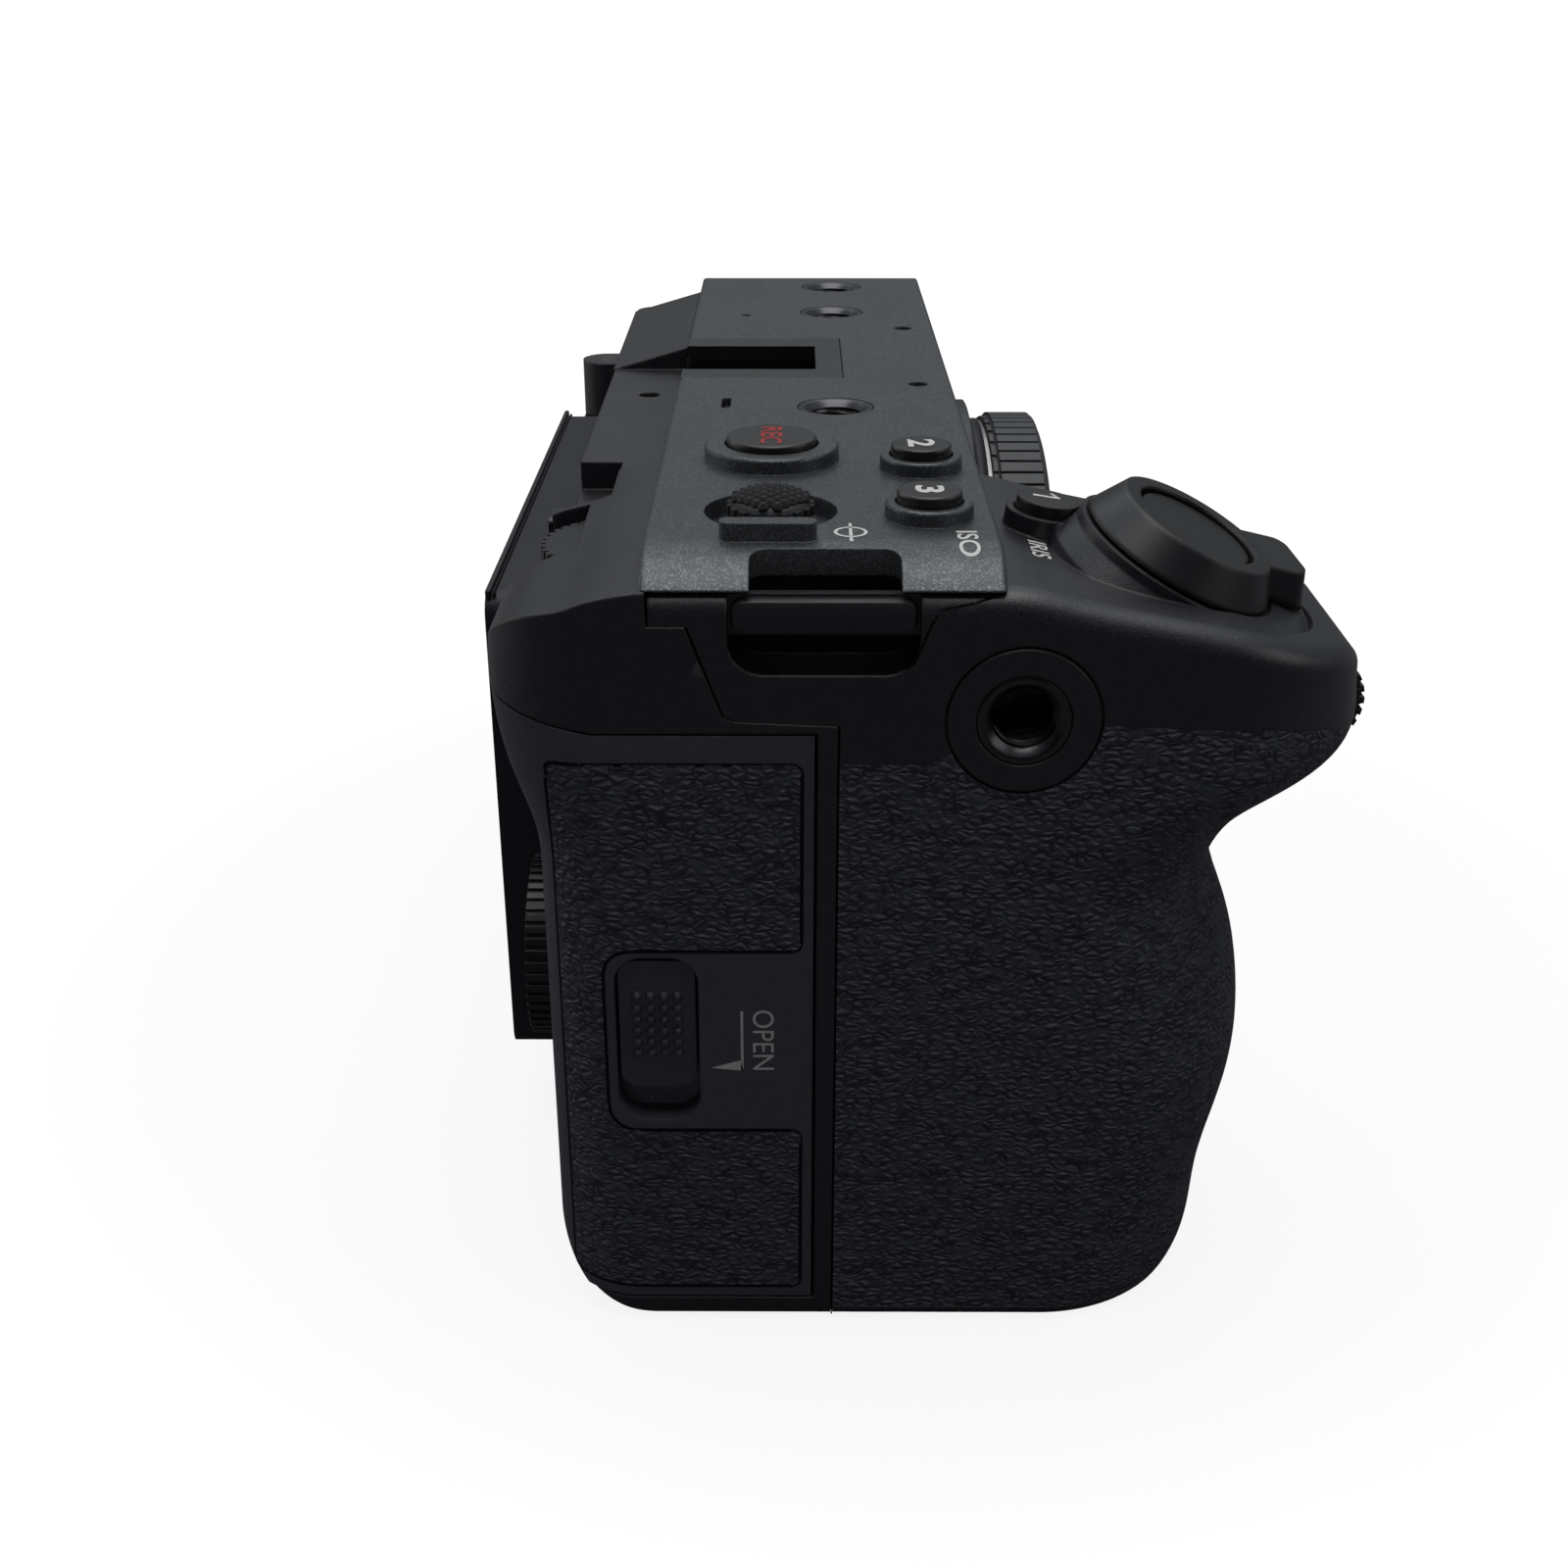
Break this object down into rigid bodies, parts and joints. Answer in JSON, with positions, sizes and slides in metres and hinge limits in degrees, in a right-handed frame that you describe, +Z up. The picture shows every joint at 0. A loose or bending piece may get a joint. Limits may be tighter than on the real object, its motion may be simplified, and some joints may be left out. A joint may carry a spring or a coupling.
{
  "type": "compact cinema camera",
  "caption": "Box-shaped compact cinema camera body with a leather-covered grip, grey top plate, lens mount under a cap and a swing-out monitor.",
  "frame": {"origin": "mouth of the tripod socket in the flat base, on the lens axis seen from above", "axes": "+Z up, -Y towards the subject along the lens axis, +X towards the end with the ports and the monitor hinge; the grip is at -X"},
  "size_m": [0.1291, 0.0832, 0.0802],
  "materials": {
    "grey_metal": "fine metallic grey coating",
    "black_metal": "fine textured black coating",
    "grip_rubber": "pebbled",
    "black_plastic": "matt",
    "gloss_black": "satin",
    "rec_plastic": "satin, with red print",
    "dark_steel": "blackened",
    "bright_steel": "turned",
    "aluminium": "bare",
    "circuit_board": "satin",
    "glass": "clear",
    "screen_glass": "polished",
    "lamp_red": "polished"
  },
  "bodies": {
    "camera_body": {"top_plate": "grey_metal", "grip_cover": "black_metal", "grip_leather": "grip_rubber", "front_cover": "black_metal", "rear_cover": "black_metal", "base_plate": "black_metal", "base_screws": "bright_steel", "chassis_frame": "black_metal", "main_board": "circuit_board", "heat_sink": "aluminium", "fan_housing": "black_plastic", "card_slots": "black_plastic", "shift_base": "aluminium", "mount_ring": "bright_steel", "mount_screws": "bright_steel", "lens_contacts": "black_plastic", "accessory_shoe": "dark_steel", "shoe_contacts": "black_plastic", "thread_inserts": "dark_steel", "tripod_insert": "dark_steel", "strap_bars": "dark_steel", "tally_lamp": "lamp_red", "thumb_pad": "grip_rubber", "port_sockets": "black_plastic", "battery_pack": "black_plastic", "monitor_hinge_bracket": "black_metal", "hinge_pins": "bright_steel"},
    "fan_rotor": {"fan_rotor": "black_plastic"},
    "battery_catch": {"battery_catch": "black_plastic"},
    "shift_frame": {"shift_frame": "aluminium"},
    "sensor": {"sensor_unit": "circuit_board", "sensor_filter": "glass"},
    "lens_release_button": {"lens_release_button": "black_plastic"},
    "lens_lock_pin": {"lens_lock_pin": "bright_steel"},
    "body_cap": {"body_cap": "black_plastic"},
    "rec_button": {"rec_button": "rec_plastic"},
    "button_1": {"button_1": "black_plastic"},
    "button_2": {"button_2": "black_plastic"},
    "button_3": {"button_3": "black_plastic"},
    "joystick_carrier": {"joystick_carrier": "black_plastic"},
    "joystick_cap": {"joystick_cap": "black_plastic"},
    "zoom_lever": {"zoom_lever": "black_plastic"},
    "shutter_button": {"shutter_button": "gloss_black"},
    "front_dial": {"front_dial": "black_plastic"},
    "rear_dial": {"rear_dial": "black_plastic"},
    "control_wheel": {"control_wheel": "black_plastic"},
    "centre_button": {"centre_button": "black_plastic"},
    "menu_button": {"menu_button": "black_plastic"},
    "playback_button": {"playback_button": "black_plastic"},
    "power_switch": {"power_switch": "black_plastic"},
    "card_door": {"card_door": "black_plastic", "card_leather": "grip_rubber"},
    "card_latch": {"card_latch": "black_plastic"},
    "battery_door": {"battery_door": "black_plastic"},
    "battery_latch": {"battery_latch": "black_plastic"},
    "audio_cover": {"audio_cover": "black_plastic"},
    "data_cover": {"data_cover": "black_plastic"},
    "monitor": {"monitor_arm": "black_metal", "monitor_housing": "black_plastic", "monitor_glass": "screen_glass"}
  },
  "joints": [
    {"name": "fan_spin", "type": "hinge", "parent": "camera_body", "child": "fan_rotor", "pos_m": [0.026, 0.0226, 0.046], "axis": [0, 1, 0], "continuous": true},
    {"name": "battery_catch_slide", "type": "slide", "parent": "camera_body", "child": "battery_catch", "axis": [0, 1, 0], "range_m": [0, 0.0012], "stiffness_N_per_m": 400, "springref_m": -0.0004},
    {"name": "shift_sideways", "type": "slide", "parent": "camera_body", "child": "shift_frame", "axis": [1, 0, 0], "range_m": [-0.001, 0.001], "stiffness_N_per_m": 4000},
    {"name": "shift_upright", "type": "slide", "parent": "shift_frame", "child": "sensor", "axis": [0, 0, 1], "range_m": [-0.001, 0.001], "stiffness_N_per_m": 4000},
    {"name": "lens_release_press", "type": "slide", "parent": "camera_body", "child": "lens_release_button", "axis": [0, 1, 0], "range_m": [0, 0.0009], "stiffness_N_per_m": 400, "springref_m": -0.0004},
    {"name": "lens_pin_retract", "type": "slide", "parent": "camera_body", "child": "lens_lock_pin", "axis": [0, 1, 0], "range_m": [0, 0.0013]},
    {"name": "cap_pull", "type": "slide", "parent": "camera_body", "child": "body_cap", "axis": [0, -1, 0], "range_m": [0, 0.03]},
    {"name": "rec_press", "type": "slide", "parent": "camera_body", "child": "rec_button", "axis": [0, 0, -1], "range_m": [0, 0.0006], "stiffness_N_per_m": 400, "springref_m": -0.0004},
    {"name": "button_1_press", "type": "slide", "parent": "camera_body", "child": "button_1", "axis": [0, 0.1564, -0.9877], "range_m": [0, 0.0005], "stiffness_N_per_m": 400, "springref_m": -0.0004},
    {"name": "button_2_press", "type": "slide", "parent": "camera_body", "child": "button_2", "axis": [0, 0, -1], "range_m": [0, 0.0005], "stiffness_N_per_m": 400, "springref_m": -0.0004},
    {"name": "button_3_press", "type": "slide", "parent": "camera_body", "child": "button_3", "axis": [0, 0, -1], "range_m": [0, 0.0005], "stiffness_N_per_m": 400, "springref_m": -0.0004},
    {"name": "joystick_fore_aft", "type": "hinge", "parent": "camera_body", "child": "joystick_carrier", "pos_m": [-0.062, 0.0119, 0.0734], "axis": [1, 0, 0], "range_deg": [-8, 8], "stiffness_Nm_per_rad": 0.01},
    {"name": "joystick_sideways", "type": "hinge", "parent": "joystick_carrier", "child": "joystick_cap", "pos_m": [-0.062, 0.0119, 0.0734], "axis": [0, 1, 0], "range_deg": [-8, 8], "stiffness_Nm_per_rad": 0.01},
    {"name": "zoom_turn", "type": "hinge", "parent": "camera_body", "child": "zoom_lever", "pos_m": [-0.0616, -0.0258, 0.0759], "axis": [-0.096, -0.4551, 0.8852], "range_deg": [-20, 20], "stiffness_Nm_per_rad": 0.02},
    {"name": "shutter_press", "type": "slide", "parent": "camera_body", "child": "shutter_button", "axis": [0.096, 0.4551, -0.8852], "range_m": [0, 0.001], "stiffness_N_per_m": 400, "springref_m": -0.0004},
    {"name": "front_dial_turn", "type": "hinge", "parent": "camera_body", "child": "front_dial", "pos_m": [-0.06, -0.03785, 0.0599], "axis": [1, 0, 0], "continuous": true},
    {"name": "rear_dial_turn", "type": "hinge", "parent": "camera_body", "child": "rear_dial", "pos_m": [-0.0535, 0.0255, 0.0704], "axis": [0, 0, 1], "continuous": true},
    {"name": "control_wheel_turn", "type": "hinge", "parent": "camera_body", "child": "control_wheel", "pos_m": [-0.0575, 0.034, 0.0313], "axis": [0, 1, 0], "continuous": true},
    {"name": "centre_press", "type": "slide", "parent": "camera_body", "child": "centre_button", "axis": [0, -1, 0], "range_m": [0, 0.0004], "stiffness_N_per_m": 400, "springref_m": -0.0004},
    {"name": "menu_press", "type": "slide", "parent": "camera_body", "child": "menu_button", "axis": [0, -1, 0], "range_m": [0, 0.0004], "stiffness_N_per_m": 400, "springref_m": -0.0004},
    {"name": "playback_press", "type": "slide", "parent": "camera_body", "child": "playback_button", "axis": [0, -1, 0], "range_m": [0, 0.0004], "stiffness_N_per_m": 400, "springref_m": -0.0004},
    {"name": "power_slide", "type": "slide", "parent": "camera_body", "child": "power_switch", "axis": [1, 0, 0], "range_m": [0, 0.004]},
    {"name": "card_door_swing", "type": "hinge", "parent": "camera_body", "child": "card_door", "pos_m": [-0.0761, 0.00895, 0.0327], "axis": [0, 0, 1], "range_deg": [0, 95]},
    {"name": "card_latch_slide", "type": "slide", "parent": "card_door", "child": "card_latch", "axis": [0, 0, -1], "range_m": [0, 0.003], "stiffness_N_per_m": 100, "springref_m": -0.001},
    {"name": "battery_door_swing", "type": "hinge", "parent": "camera_body", "child": "battery_door", "pos_m": [-0.0459, -0.0042, 0.0009], "axis": [0, -1, 0], "range_deg": [0, 90]},
    {"name": "battery_latch_slide", "type": "slide", "parent": "battery_door", "child": "battery_latch", "axis": [1, 0, 0], "range_m": [0, 0.0025], "stiffness_N_per_m": 100, "springref_m": -0.001},
    {"name": "audio_cover_swing", "type": "hinge", "parent": "camera_body", "child": "audio_cover", "pos_m": [0.0512, -0.0005, 0.03615], "axis": [0, 0, -1], "range_deg": [0, 100]},
    {"name": "data_cover_swing", "type": "hinge", "parent": "camera_body", "child": "data_cover", "pos_m": [0.0512, -0.0005, 0.0178], "axis": [0, 0, -1], "range_deg": [0, 100]},
    {"name": "monitor_swing", "type": "hinge", "parent": "camera_body", "child": "monitor", "pos_m": [0.0476, 0.0365, 0.0394], "axis": [0, 0, -1], "range_deg": [0, 176]}
  ],
  "couplings": [
    {"joint": "lens_pin_retract", "follows": "lens_release_press", "ratio": 1.4}
  ]
}
